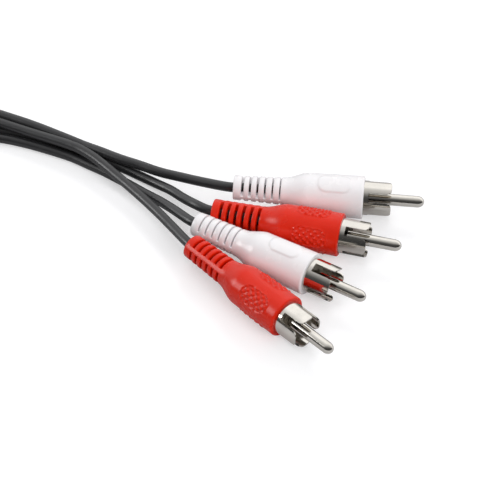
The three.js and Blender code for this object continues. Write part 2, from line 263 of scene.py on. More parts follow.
@dataclass(frozen=True)
class ExtrudedVinyl:
    """Soft black PVC, extruded over the cord's strands.

    It is a charcoal black with a satin, slightly greasy sheen, and shallow waves and dust-fine
    specks that break up its long highlight.
    """

    name: str = "black_extruded_vinyl"
    look: Look = Look(("1D1D1F", "2C2C2E"), (0.3, 0.42))
    ior: float = 1.52
    wave_mm: float = 6.0
    wave_height_mm: float = 0.05
    speck_mm: float = 0.25
    speck_height_mm: float = 0.006

    def build(self) -> bpy.types.Material:
        """Make the material.

        Returns:
            The finished material.
        """
        tree = FinishTree(self.name)
        wave, speck = (tree.noise(size, detail=2.0) for size in (self.wave_mm, self.speck_mm))
        relief = tree.bump(speck, self.speck_height_mm, tree.bump(wave, self.wave_height_mm))
        return tree.close((speck, wave), self.look, relief, {"IOR": self.ior})


@dataclass(frozen=True)
class PlainStuff:
    """A simple solid such as natural polyethylene, bare copper or woven nylon hook tape.

    The grain's size and height say how its surface breaks up: a faint moulding cloud, drawn
    wire or the loops of a strap.
    """

    name: str
    look: Look
    metallic: float = 0.0
    grain_mm: float = 0.5
    grain_height_mm: float = 0.01

    def build(self) -> bpy.types.Material:
        """Make the material.

        Returns:
            The finished material.
        """
        tree = FinishTree(self.name)
        grain = tree.noise(self.grain_mm, detail=3.0)
        relief = tree.bump(grain, self.grain_height_mm)
        return tree.close((grain, grain), self.look, relief, {"Metallic": self.metallic})


@dataclass
class Palette:
    """All finishes, by the record's slot."""

    made: dict[Slot, bpy.types.Material] = field(default_factory=dict)

    def build(self) -> "Palette":
        """Make every finish once.

        Returns:
            The palette itself.
        """
        recipes = {
            Slot.WHITE: MouldedVinyl(
                "white_moulded_vinyl", Look(("ECE9EC", "F2F0F1"), (0.21, 0.3)), (1.0, 0.9, 0.85)),
            Slot.RED: MouldedVinyl(
                "red_moulded_vinyl", Look(("D21D02", "DE2504"), (0.21, 0.3)),
                (1.0, 0.1, 0.03), ior=1.36),
            Slot.NICKEL: NickelPlate(),
            Slot.BLACK: ExtrudedVinyl(),
            Slot.NATURAL: PlainStuff(
                "natural_polyethylene", Look(("D0CBC0", "DDD9D0"), (0.4, 0.5))),
            Slot.COPPER: PlainStuff(
                "bare_copper_wire", Look(("A9623A", "C27A4A"), (0.25, 0.35)), metallic=1.0,
                grain_mm=0.3, grain_height_mm=0.02),
            Slot.TIE: PlainStuff(
                "black_nylon_strap", Look(("161617", "232325"), (0.7, 0.8)),
                grain_mm=0.35, grain_height_mm=0.12),
        }
        self.made = {slot: recipe.build() for slot, recipe in recipes.items()}
        return self

    def dress(self, piece: bpy.types.Object, slot: Slot) -> None:
        """Give a mesh object the finish of a slot."""
        piece.data.materials.clear()
        piece.data.materials.append(self.made[slot])


# Meshes


def link(thing: bpy.types.Object) -> None:
    """Put an object into the scene."""
    bpy.context.scene.collection.objects.link(thing)


def piece_from(
    name: str,
    corners: np.ndarray,
    faces: Faces,
    place: Matrix,
    sharp_deg: float = 35.0,
) -> bpy.types.Object:
    """Make a smooth-shaded mesh object from corners in millimetres.

    Args:
        name: the piece's name.
        corners: an array of points in millimetres, in the piece's own frame.
        faces: corner numbers of each face, clockwise as seen from outside.
        place: turns the piece's own frame, in metres, into the part's.
        sharp_deg: edges that bend by more than this stay sharp.

    Returns:
        The new object.
    """
    mesh = bpy.data.meshes.new(name)
    mesh.from_pydata((corners * MM).tolist(), [], faces)
    mesh.flip_normals()
    mesh.transform(place)
    mesh.polygons.foreach_set("use_smooth", [True] * len(mesh.polygons))
    mesh.set_sharp_from_angle(angle=math.radians(sharp_deg))
    mesh.update()
    piece = bpy.data.objects.new(name, mesh)
    link(piece)
    return piece


def tube_faces(solid: np.ndarray) -> Faces:
    """Faces of a tube with walls, where some cells may be open.

    The corners are rows x columns on the outer skin, then the same on the inner skin. Columns
    run round and close up. Every border of the solid cells gets a wall between the two skins.

    Args:
        solid: rows - 1 by columns, true where there is material.

    Returns:
        The faces' corner numbers, clockwise as seen from outside.
    """
    rows, columns = solid.shape[0] + 1, solid.shape[1]
    inner = rows * columns
    faces: Faces = []
    for i, j in np.argwhere(solid).tolist():
        k = (j + 1) % columns
        a, b = i * columns + j, i * columns + k
        c, d = b + columns, a + columns
        faces += [(a, b, c, d), (inner + d, inner + c, inner + b, inner + a)]
        for start, end, is_border in (
            (b, a, i == 0 or not solid[i - 1, j]), (d, c, i == rows - 2 or not solid[i + 1, j]),
            (a, d, not solid[i, j - 1]), (c, b, not solid[i, k]),
        ):
            if is_border:
                faces.append((start, end, inner + end, inner + start))
    return faces


def ring_points(x: np.ndarray, radius: np.ndarray, angle: np.ndarray) -> np.ndarray:
    """Points round the X axis, from +Z towards +Y, as rows by columns."""
    return np.stack([x + 0 * radius, radius * np.sin(angle), radius * np.cos(angle)], axis=-1)


def grid_faces(rows: int, columns: int, closed: bool = False) -> Faces:
    """Faces between rows of corners that each run round a ring.

    Args:
        rows: how many rows there are.
        columns: how many corners each row has.
        closed: true where the last row joins the first.

    Returns:
        The faces' corner numbers, clockwise as seen from outside.
    """
    faces: Faces = []
    for i in range(rows if closed else rows - 1):
        low, high = i * columns, (i + 1) % rows * columns
        for j in range(columns):
            k = (j + 1) % columns
            faces.append((low + j, low + k, high + k, high + j))
    return faces


def turned_piece(name: str, outline: Sequence[tuple[float, float]], facets: int, place: Matrix,
                 closed: bool = False) -> bpy.types.Object:
    """Turn an outline about the X axis.

    Args:
        name: the piece's name.
        outline: points (x, radius) from rear to front. An open one starts and ends on the axis.
        facets: how many facets go round.
        place: the piece's place.
        closed: true for a ring, whose last point joins the first.

    Returns:
        The new object.
    """
    angle = np.arange(facets) * 2 * math.pi / facets
    kept = [p for p in outline if closed or p[1] > 0]
    corners = [(x, r * math.sin(a), r * math.cos(a)) for x, r in kept for a in angle]
    faces = grid_faces(len(kept), facets, closed)
    if not closed:
        rear, front, last = len(corners), len(corners) + 1, len(corners) - facets
        corners += [(outline[0][0], 0.0, 0.0), (outline[-1][0], 0.0, 0.0)]
        for j in range(facets):
            k = (j + 1) % facets
            faces += [(rear, k, j), (last + j, last + k, front)]
    return piece_from(name, np.array(corners), faces, place)


def smooth(value: np.ndarray | float) -> np.ndarray | float:
    """A share from 0 to 1, eased at both ends."""
    share = np.clip(value, 0.0, 1.0)
    return share * share * (3 - 2 * share)


def settle(piece: bpy.types.Object, slot: Slot, palette: Palette, *nodes: str) -> None:
    """Dress a piece, ride it on the body and let it stand for its nodes.

    Args:
        piece: the new piece.
        slot: the record's slot.
        palette: the finishes.
        nodes: the nodes that it replaces.
    """
    palette.dress(piece, slot)
    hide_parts(*nodes)
    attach(piece, BODY)
    log.info("%s: %d faces", piece.name, len(piece.data.polygons))


# Plugs


@dataclass(frozen=True)
class PlugPlace:
    """Where a plug lies, as in the solids."""

    rear: tuple[float, float]
    heading: float
    turn: float
    sleeve_turn: float


@dataclass
class PhonoPlug:
    """A moulded phono plug: shell, sleeve, pin and insulator, sizes in millimetres."""

    name: str
    slot: Slot
    grip: Grip
    place: PlugPlace
    pads: tuple[float, ...]
    slot_widths: tuple[float, float] = (0.8, 0.8)
    boot_length: float = 13.7
    boot_rear_radius: float = 3.35
    boot_front_radius: float = 3.8
    collar_length: float = 2.2
    slot_count: int = 6
    rib_pitch: float = 2.1
    spine_width: float = 1.5
    web_width: float = 0.7
    rib_round: float = 0.3
    rib_steps: tuple[float, ...] = (0.0, 0.12, 0.4, 1.0)
    shoulder_length: float = 6.8
    shoulder_rows: int = 30
    body_length: float = 15.2
    body_rear_radius: float = 5.6
    body_front_radius: float = 5.9
    edge_round: float = 0.4
    edge_rows: int = 7
    bore_radius: float = 1.42
    bore_length: float = 16.2
    hollow_rear_radius: float = 2.92
    hollow_front_radius: float = 4.4
    step_run: float = 0.1
    pad_length: float = 9.5
    pad_front_gap: float = 3.3
    pad_half_angle: float = 29.0
    pad_height: float = 0.3
    pad_corner: float = 2.4
    pad_slope: float = 0.25
    smooth_pad_slope: float = 0.5
    knurl_pitch: float = 2.0
    knurl_columns: int = 10
    knurl_depth: float = 0.5
    knurl_radius: float = 0.74
    knurl_border: float = 0.1
    rows_per_knurl: int = 8
    columns: int = 192
    sleeve_radius: float = 4.75
    sleeve_wall: float = 0.4
    sleeve_reach: float = 7.5
    sleeve_seat: float = 3.4
    sleeve_floor: float = 0.6
    petal_count: int = 4
    petal_gap: float = 2.6
    petal_root_gap: float = 1.3
    petal_corner: float = 1.4
    petal_cells: int = 24
    gap_cells: int = 10
    petal_rows: int = 7
    cup_rows: int = 5
    arc_rows: int = 13
    sleeve_bevel: float = 0.07
    neck_radius: float = 2.9
    neck_length: float = 5.5
    tag_length: float = 4.6
    tag_width: float = 2.2
    pin_radius: float = 1.6
    pin_reach: float = 16.5
    pin_nose: float = 1.9
    pin_chamfer: float = 0.1
    pin_facets: int = 48
    shank_radius: float = 0.8
    cup_length: float = 3.2
    cup_radius: float = 1.15
    cup_bore_radius: float = 0.75
    cup_depth: float = 2.0
    disc_length: float = 1.3
    disc_chamfer: float = 0.2
    disc_facets: int = 64
    dish_radius: float = 2.1
    dish_depth: float = 0.5
    insulator_tail: float = 0.8
    clearance: float = 0.3
    hairline: float = 0.02

    @property
    def shell_length(self) -> float:
        """Length of the moulded shell."""
        return self.boot_length + self.shoulder_length + self.body_length

    @property
    def sleeve_rear(self) -> float:
        """Where the sleeve's wide cup starts."""
        return self.shell_length - self.sleeve_seat

    @property
    def neck_rear(self) -> float:
        """Where the sleeve's neck starts."""
        return self.sleeve_rear - self.neck_length

    def rest_height(self) -> float:
        """Height of the axis when the plug lies on its pads or between them.

        Returns:
            The height above the floor, in millimetres.
        """
        height = self.body_front_radius
        for pad in self.pads:
            off = abs((pad + self.place.turn) % 360 - 180)
            past = math.radians(max(0.0, off - self.pad_half_angle))
            height = max(height, (self.body_front_radius + self.pad_height) * math.cos(past))
        return height

    def axis_point(self, x: float) -> Vector:
        """A point on the axis, in the part's frame and in millimetres.

        Args:
            x: how far it is in front of the boot's rear end.

        Returns:
            The point.
        """
        heading = math.radians(self.place.heading)
        rear_x, rear_y = self.place.rear
        return Vector((
            rear_x + x * math.cos(heading), rear_y - x * math.sin(heading), self.rest_height()))

    def matrix(self, extra_turn: float = 0.0) -> Matrix:
        """The plug's place as a matrix, in metres.

        Args:
            extra_turn: a further turn about the axis, in degrees.

        Returns:
            The matrix.
        """
        turn = Matrix.Rotation(math.radians(self.place.turn + extra_turn), 4, "X")
        heading = Matrix.Rotation(-math.radians(self.place.heading), 4, "Z")
        return Matrix.Translation(self.axis_point(0) * MM) @ heading @ turn

    def build(self, palette: Palette) -> None:
        """Make and dress all visible pieces of the plug.

        Args:
            palette: the finishes.
        """
        settle(self.shell(), self.slot, palette, f"{self.name}_shell")
        settle(self.sleeve(), Slot.NICKEL, palette, f"{self.name}_sleeve")
        settle(self.pin(), Slot.NICKEL, palette, f"{self.name}_pin")
        settle(self.insulator(), Slot.NATURAL, palette, f"{self.name}_insulator")

    def shell_rows(self) -> tuple[np.ndarray, np.ndarray, np.ndarray]:
        """Rows of the shell's skin along the axis.

        Returns:
            The rows' x, how far the rib's edge is rounded away there, and for each cell between
            two rows whether it lies in a slot.
        """
        soft = self.rib_round
        share = np.array(self.rib_steps)
        drop = soft * (1 - np.sqrt(1 - (1 - share) ** 2))
        rows: list[tuple[float, float, bool]] = []

        def edge(at: float, way: int) -> None:
            """Add the rows of a rib's rounded edge, from its corner (1) or towards it (-1)."""
            rows.extend((at + way * soft * s, d, False) for s, d in list(zip(share, drop))[::way])

        start = 0.0
        for i, width in enumerate(np.linspace(*self.slot_widths, self.slot_count)):
            end = self.collar_length + i * self.rib_pitch
            edge(start, 1)
            edge(end, -1)
            rows[-1] = (end, drop[0], True)
            start = end + width
        edge(start, 1)
        shoulder_end = self.boot_length + self.shoulder_length
        plain = [*np.linspace(start + soft + self.step_run, shoulder_end, self.shoulder_rows)]
        step = self.knurl_pitch / self.rows_per_knurl
        front = self.shell_length - self.edge_round
        plain += [*np.arange(shoulder_end + step, front - step / 2, step)]
        quarter = np.linspace(0, math.pi / 2, self.edge_rows)
        plain += [*(front + self.edge_round * np.sin(quarter))]
        rows += [(x, 0.0, False) for x in plain]
        x, drops, slots = (np.array(values) for values in zip(*rows))
        return x, drops, slots[:-1]

    def base_radius(self, x: np.ndarray) -> np.ndarray:
        """Radius of the plain skin, without ribs and pads.

        Args:
            x: rows along the axis.

        Returns:
            The radius at each row.
        """
        boot_slope = (self.boot_front_radius - self.boot_rear_radius) / self.boot_length
        boot = self.boot_rear_radius + boot_slope * x
        rise = smooth((x - self.boot_length) / self.shoulder_length)
        shoulder = self.boot_front_radius + (self.body_rear_radius - self.boot_front_radius) * rise
        shoulder_end = self.boot_length + self.shoulder_length
        along = (x - shoulder_end) / self.body_length
        body = self.body_rear_radius + (self.body_front_radius - self.body_rear_radius) * along
        radius = np.where(x < self.boot_length, boot, np.where(x < shoulder_end, shoulder, body))
        past = np.clip((x - (self.shell_length - self.edge_round)) / self.edge_round, 0, 1)
        return radius - self.edge_round * (1 - np.sqrt(1 - past ** 2))

    def pad_lift(self, x: np.ndarray, angle: np.ndarray) -> np.ndarray:
        """How far the pads stand out of the body.

        Args:
            x: rows by 1, along the axis.
            angle: 1 by columns, round the axis.

        Returns:
            Rows by columns heights.
        """
        turns = np.radians(self.pads)[:, None]
        around = (angle + turns + math.pi) % (2 * math.pi) - math.pi
        nearest = np.abs(around).argmin(axis=0)
        off = around[nearest, np.arange(angle.shape[1])][None, :]
        radius = self.body_front_radius + self.pad_height
        half_width = radius * math.sin(math.radians(self.pad_half_angle))
        middle = self.shell_length - self.pad_front_gap - self.pad_length / 2
        corner = self.pad_corner
        dx = np.abs(x - middle) - (self.pad_length / 2 - corner)
        dy = np.abs(radius * np.sin(off)) - (half_width - corner)
        outside = np.hypot(np.maximum(dx, 0), np.maximum(dy, 0)) - corner
        outside = outside + np.minimum(np.maximum(dx, dy), 0)
        knurled = self.grip is Grip.KNURLED
        slope = self.pad_slope if knurled else self.smooth_pad_slope
        height = self.pad_height * smooth(-outside / slope)
        if knurled:
            u = (x - middle) / self.knurl_pitch
            v = off / (self.knurl_columns * 2 * math.pi / self.columns)
            near = np.hypot(u - np.round(u), v - np.round(v))
            near = np.minimum(near, np.hypot(u - np.floor(u) - 0.5, v - np.floor(v) - 0.5))
            cut = self.knurl_depth * smooth((-outside - self.knurl_border) / self.pad_slope)
            height = height - cut * smooth(near * self.knurl_pitch / self.knurl_radius)
        return height

    def shell(self) -> bpy.types.Object:
        """Make the moulded shell with its ribbed boot, pads and front rim.

        Returns:
            The new piece.
        """
        x, drop, in_slot = self.shell_rows()
        x2 = x[:, None]
        angle = (np.arange(self.columns) * 2 * math.pi / self.columns)[None, :]
        edge_angle = math.asin(self.spine_width / 2 / self.boot_front_radius)
        edge_column = round(edge_angle / (2 * math.pi / self.columns))
        column = np.arange(self.columns)
        half = self.columns // 2
        from_spine = np.minimum(column % half, half - column % half)
        ribbed = np.clip((from_spine - edge_column + 1) / 2, 0, 1)[None, :]
        ribbed = np.where(x2 < self.edge_round, 1.0, ribbed)
        outer_radius = self.base_radius(x)[:, None] + self.pad_lift(x2, angle) - drop[:, None] * ribbed
        outer = ring_points(x2, outer_radius, angle)
        bore_end, step = self.bore_length, self.step_run
        bore = np.interp(x, [bore_end, bore_end + step, self.sleeve_rear, self.sleeve_rear + step], [
            self.bore_radius, self.hollow_rear_radius, self.hollow_front_radius,
            self.sleeve_radius + self.hairline])
        spine = math.asin(self.web_width / 2 / self.bore_radius)
        edge = edge_column * 2 * math.pi / self.columns
        lobe = (column % half) * 2 * math.pi / self.columns
        mapped = np.where(lobe <= edge, lobe * spine / edge, np.where(
            lobe >= math.pi - edge, math.pi - (math.pi - lobe) * spine / edge,
            spine + (lobe - edge) * (math.pi - 2 * spine) / (math.pi - 2 * edge)))
        inner_angle = (mapped + (column >= half) * math.pi)[None, :]
        inner = ring_points(x2, bore[:, None] + 0 * inner_angle, inner_angle)
        open_column = (from_spine >= edge_column) & (np.roll(from_spine, -1) >= edge_column)
        solid = ~(in_slot[:, None] & open_column[None, :])
        corners = np.concatenate([outer.reshape(-1, 3), inner.reshape(-1, 3)])
        return piece_from(f"{self.name}_moulded_shell", corners, tube_faces(solid), self.matrix())

    def sleeve(self) -> bpy.types.Object:
        """Make the sleeve: a cup of petals with a neck and a solder tag behind it.

        Returns:
            The new piece.
        """
        tip = self.shell_length + self.sleeve_reach
        root = self.shell_length + self.petal_root_gap
        corner = self.petal_corner
        round_start = tip - corner
        bow = round_start + corner * np.sin(np.linspace(0, math.pi / 2, self.arc_rows))
        floor = self.sleeve_rear + self.sleeve_floor
        x = np.concatenate([
            [self.neck_rear - self.tag_length, self.neck_rear, self.sleeve_rear - self.hairline],
            [self.sleeve_rear, floor, floor + self.hairline],
            np.linspace(floor + self.sleeve_wall, root, self.cup_rows),
            np.linspace(root, round_start, self.petal_rows)[1:-1], bow])
        neck = x < self.sleeve_rear - self.hairline / 2
        outer_radius = np.where(neck, self.neck_radius, self.sleeve_radius)
        cup = x > floor + self.hairline / 2
        inner_radius = np.where(cup, self.sleeve_radius, self.neck_radius) - self.sleeve_wall
        past = np.clip(x - round_start, 0, corner)
        half_gap = self.petal_gap / 2 + corner - np.sqrt(np.maximum(corner ** 2 - past ** 2, 0))
        half_petal = math.pi / self.petal_count - np.arcsin(half_gap / self.sleeve_radius)
        half_petal = np.where(neck, math.asin(self.tag_width / 2 / self.neck_radius), half_petal)
        quarter = 2 * math.pi / self.petal_count
        columns: list[np.ndarray] = []
        is_gap: list[bool] = []
        for middle in np.arange(self.petal_count) * quarter:
            petal = np.arange(self.petal_cells) / self.petal_cells
            gap = np.arange(self.gap_cells) / self.gap_cells
            columns += [middle - half_petal + 2 * half_petal * share for share in petal]
            columns += [middle + half_petal + (quarter - 2 * half_petal) * share for share in gap]
            is_gap += [False] * self.petal_cells + [True] * self.gap_cells
        angle = np.stack(columns, axis=1)
        x2 = x[:, None]
        outer = ring_points(x2, outer_radius[:, None] + 0 * angle, angle)
        inner = ring_points(x2, inner_radius[:, None] + 0 * angle, angle)
        solid = np.ones((len(x) - 1, len(columns)), bool)
        solid[x[:-1] >= root - self.hairline / 2] &= ~np.array(is_gap)[None, :]
        solid[0] = np.arange(len(columns)) < self.petal_cells
        corners = np.concatenate([outer.reshape(-1, 3), inner.reshape(-1, 3)])
        piece = piece_from(f"{self.name}_petal_sleeve", corners, tube_faces(solid),
                           self.matrix(self.place.sleeve_turn), sharp_deg=30.0)
        soften(piece, self.sleeve_bevel)
        return piece

    def pin(self) -> bpy.types.Object:
        """Make the centre pin, from the bored solder cup to the round nose.

        Returns:
            The new piece.
        """
        tip = self.shell_length + self.pin_reach
        disc_front = self.sleeve_rear + self.sleeve_floor + self.clearance + self.disc_length
        cup_front = self.neck_rear - self.insulator_tail - self.clearance
        cup_rear = cup_front - self.cup_length
        cup_floor = cup_rear + self.cup_depth
        nose = [(tip - self.pin_nose + self.pin_nose * math.sin(a), self.pin_radius * math.cos(a))
                for a in np.linspace(0, math.pi / 2, self.arc_rows)[:-1]]
        seat = disc_front + self.hairline
        outline = [
            (cup_floor, 0.0), (cup_floor, self.cup_bore_radius), (cup_rear, self.cup_bore_radius),
            (cup_rear, self.cup_radius), (cup_front, self.cup_radius), (cup_front, self.shank_radius),
            (seat, self.shank_radius), (seat, self.pin_radius - self.pin_chamfer),
            (seat + self.pin_chamfer, self.pin_radius), *nose, (tip, 0.0)]
        return turned_piece(f"{self.name}_round_pin", outline, self.pin_facets, self.matrix())

    def insulator(self) -> bpy.types.Object:
        """Make the insulator, a dished disc with a tail through the sleeve's neck.

        Returns:
            The new piece.
        """
        bore = self.shank_radius + self.hairline
        disc = self.sleeve_radius - self.sleeve_wall - self.hairline
        tail = self.neck_radius - self.sleeve_wall - self.hairline
        rear = self.neck_rear - self.insulator_tail
        disc_rear = self.sleeve_rear + self.sleeve_floor + self.hairline
        front = disc_rear + self.clearance + self.disc_length
        dish, chamfer = front - self.dish_depth, self.disc_chamfer
        outline = [(rear, bore), (rear, tail), (disc_rear, tail), (disc_rear, disc),
                   (front - chamfer, disc), (front, disc - chamfer), (front, self.dish_radius),
                   (dish, self.dish_radius - chamfer), (dish, bore)]
        return turned_piece(f"{self.name}_disc_insulator", outline, self.disc_facets, self.matrix(),
                            closed=True)


def soften(piece: bpy.types.Object, width_mm: float, segments: int = 2, from_deg: float = 40.0) -> None:
    """Round the sharp edges of a piece with a small bevel.

    Args:
        piece: a mesh object.
        width_mm: the bevel's width.
        segments: how many strips it has.
        from_deg: edges that bend by more than this get it.
    """
    bevel = piece.modifiers.new("edge", "BEVEL")
    bevel.width = width_mm * MM
    bevel.segments = segments
    bevel.limit_method = "ANGLE"
    bevel.angle_limit = math.radians(from_deg)


# Cords


def hermite(start: np.ndarray, end: np.ndarray, leave: np.ndarray, arrive: np.ndarray,
            t: np.ndarray) -> np.ndarray:
    """Curve from start to end, leaving and arriving at that pace, for a column t from 0 to 1."""
    return ((2 * t ** 3 - 3 * t ** 2 + 1) * start + (t ** 3 - 2 * t ** 2 + t) * leave
            + (3 * t ** 2 - 2 * t ** 3) * end + (t ** 3 - t ** 2) * arrive)


def smooth_route(points: Sequence[Sequence[float]], steps: int) -> np.ndarray:
    """A smooth line through points, as the solids' own spline runs.

    Args:
        points: the points that it passes.
        steps: how many pieces there are between two points.

    Returns:
        The points of the line.
    """
    p = [np.array(q, float) for q in points]
    p = [2 * p[0] - p[1], *p, 2 * p[-1] - p[-2]]
    t = (np.arange(steps) / steps)[:, None]
    line: list[np.ndarray] = []
    for before, start, end, after in zip(p, p[1:], p[2:], p[3:]):
        pace = [max(np.linalg.norm(b - a) ** 0.5, 1e-6) for a, b in
                ((before, start), (start, end), (end, after))]
        leave = (start - before) / pace[0] - (end - before) / (pace[0] + pace[1])
        arrive = (after - end) / pace[2] - (after - start) / (pace[1] + pace[2])
        step = end - start
        line.append(hermite(start, end, step + pace[1] * leave, step + pace[1] * arrive, t))
    return np.concatenate([*line, p[-2][None, :]])


def swept(name: str, line: np.ndarray, section: np.ndarray,
          roll: np.ndarray | float = 0.0) -> bpy.types.Object:
    """Sweep a section along a line, with flat ends.

    Args:
        name: the piece's name.
        line: the line's points, in millimetres.
        section: the outline's points (sideways, up), anticlockwise seen from the end.
        roll: how far the section is turned at each point, in radians.

    Returns:
        The new piece.
    """
    ahead = np.gradient(line, axis=0)
    ahead /= np.linalg.norm(ahead, axis=1)[:, None]
    side = np.cross(ahead, [0.0, 0.0, 1.0])
    side /= np.linalg.norm(side, axis=1)[:, None]
    up = np.cross(side, ahead)
    lean = (roll + np.zeros(len(line)))[:, None]
    side, up = side * np.cos(lean) - up * np.sin(lean), up * np.cos(lean) + side * np.sin(lean)
    count = len(section)
    rings = [p + section[:, :1] * s + section[:, 1:] * u for p, s, u in zip(line, side, up)]
    last = (len(line) - 1) * count
    ends = [tuple(range(count - 1, -1, -1)), tuple(range(last, last + count))]
    faces = grid_faces(len(line), count) + ends
    return piece_from(name, np.concatenate(rings), faces, Matrix.Identity(4), sharp_deg=60.0)


def distances(line: np.ndarray) -> np.ndarray:
    """How far along a line each of its points is, in the line's own unit."""
    return np.concatenate([[0], np.cumsum(np.linalg.norm(np.diff(line, axis=0), axis=1))])


def even_line(line: np.ndarray, step: float) -> np.ndarray:
    """Space a line's points evenly.

    Args:
        line: the points.
        step: the spacing.

    Returns:
        The new points.
    """
    along = distances(line)
    target = np.linspace(0, along[-1], max(2, round(along[-1] / step)) + 1)
    return np.stack([np.interp(target, along, line[:, k]) for k in range(3)], axis=1)


def bridge(before: np.ndarray, after: np.ndarray, steps: int = 12) -> np.ndarray:
    """A smooth stretch from the end of one line to the start of the next.

    Args:
        before: the first line.
        after: the next line.
        steps: how many pieces it has.

    Returns:
        The points between them, without the two ends.
    """
    start, end = before[-1], after[0]
    gap = np.linalg.norm(end - start)
    ways = (start - before[-2], after[1] - end)
    leave, arrive = (way / np.linalg.norm(way) * gap for way in ways)
    return hermite(start, end, leave, arrive, (np.arange(1, steps) / steps)[:, None])


@dataclass
class Coil:
    """The spare lead's coil, sizes in millimetres, its turns in order of (column, layer)."""

    centre: tuple[float, float] = (-142.0, 40.9)
    mean_radius: float = 32.0
    column_pitch: float = 5.6
    layer_pitch: float = 2.9
    floor_height: float = 1.4
    first_angle: float = 76.0
    turns: float = 5.685
    points_per_turn: int = 72
    crossing_deg: float = 50.0
    order: tuple[tuple[int, int], ...] = ((1, 2), (0, 2), (0, 1), (1, 1), (0, 0), (1, 0))

    def line(self) -> np.ndarray:
        """The coil's line, from the top outer turn down to the floor.

        Returns:
            The points, in millimetres.
        """
        points = []
        order = np.array(self.order)
        for i in range(round(self.turns * self.points_per_turn) + 1):
            travelled = i / self.points_per_turn
            turn = min(int(travelled), len(order) - 1)
            share = (travelled - turn) * 360
            here, there = order[turn], order[min(turn + 1, len(order) - 1)]
            mix = smooth((share - 360 + self.crossing_deg) / self.crossing_deg)
            column, layer = here + (there - here) * mix
            radius = self.mean_radius + (column - 0.5) * self.column_pitch
            angle = math.radians(self.first_angle + travelled * 360)
            points.append((
                self.centre[0] + radius * math.cos(angle), self.centre[1] + radius * math.sin(angle),
                self.floor_height + layer * self.layer_pitch))
        return np.array(points)


@dataclass
class Cord:
    """The cable's cords: a twin lead through the coil, and four single tails."""

    diameter: float = 2.7
    lead_route_a: tuple[Point, ...] = (
        (-112.6, 68.6, 6), (-105.2, 65.9, 5.2), (-98.7, 63.4, 4.6), (-92.2, 60.7, 4.4),
        (-85.8, 57.9, 4.4), (-78.4, 54.5, 4.4), (-71.2, 51, 4.4), (-65.7, 48.2, 4.4),
        (-62.3, 46.3, 4.4))
    lead_route_b: tuple[Point, ...] = (
        (-101.7, 44.1, 1.35), (-99.1, 50.1, 1.35), (-95.7, 53.1, 1.35), (-91.3, 54.9, 1.35),
        (-85.8, 54.6, 1.35), (-78.5, 52.6, 1.35), (-71.3, 49.8, 1.35), (-64, 46.5, 1.35),
        (-59.5, 43.7, 1.35))
    sides: int = 20
    tail_sides: int = 24
    web_half: float = 0.2
    strand_gap: float = 0.3
    split_roll: float = 24.0
    roll_length: float = 20.0
    overlap: float = 1.2
    boot_run: float = 1.5
    plug_depths: tuple[float, float] = (9.5, 19.0)
    route_steps: int = 6
    tail_steps: int = 8
    tail_spacing: float = 0.9
    coil: Coil = field(default_factory=Coil)
    starts: dict[str, tuple[np.ndarray, np.ndarray]] = field(default_factory=dict)

    @property
    def radius(self) -> float:
        """Radius of one strand."""
        return self.diameter / 2

    def twin_section(self) -> np.ndarray:
        """Outline of two strands side by side, joined by a thin web.

        Returns:
            Points (sideways, up).
        """
        r = self.radius
        start = math.asin(self.web_half / r)
        arc = np.linspace(-math.pi + start, math.pi - start, self.sides)
        right = np.stack([r + self.strand_gap / 2 + r * np.cos(arc), r * np.sin(arc)], axis=1)
        return np.concatenate([right, -right])

    def lead(self, palette: Palette) -> None:
        """Make the twin lead from one split through the coil to the other.

        Args:
            palette: the finishes.
        """
        near_a = smooth_route(self.lead_route_a[::-1], self.route_steps)
        near_b = smooth_route(self.lead_route_b, self.route_steps)
        coil = self.coil.line()
        line = np.concatenate([near_a, bridge(near_a, coil), coil, bridge(coil, near_b), near_b])
        line = even_line(line, self.diameter)
        roll = math.radians(self.split_roll) * (1 - smooth(distances(line) / self.roll_length))
        piece = swept("twin_lead", line, self.twin_section(), roll)
        for end, beyond, turn, (far, near) in (
            (line[0], line[0] - line[1], roll[0], ("end_a_white", "end_a_red")),
            (line[-1], line[-1] - line[-2], 0.0, ("end_b_red", "end_b_white")),
        ):
            away = beyond / np.linalg.norm(beyond)
            side = np.cross([0.0, 0.0, 1.0], away)
            side /= np.linalg.norm(side)
            lean = side * math.cos(turn) - np.cross(away, side) * math.sin(turn)
            across = (self.radius + self.strand_gap / 2) * lean
            for name, centre in ((far, end + across), (near, end - across)):
                self.starts[name] = (centre - self.overlap * away, centre)
        settle(piece, Slot.BLACK, palette, "end_a_lead", "end_b_lead", "lead_coil")

    def tail(self, route: Sequence[Point], plug: PhonoPlug, palette: Palette) -> None:
        """Make a tail from the split into its plug.

        Args:
            route: points from the split to the boot.
            plug: the plug that it goes into.
            palette: the finishes.
        """
        name = f"{plug.name}_tail"
        straight = (-self.boot_run, self.boot_run, *self.plug_depths)
        points = [*self.starts[plug.name], *route, *(tuple(plug.axis_point(x)) for x in straight)]
        line = even_line(smooth_route(points, self.tail_steps), self.tail_spacing)
        arc = np.arange(self.tail_sides) * 2 * math.pi / self.tail_sides
        section = np.stack([self.radius * np.cos(arc), self.radius * np.sin(arc)], axis=1)
        piece = swept(f"{name}_cord", line, section)
        settle(piece, Slot.BLACK, palette, name)


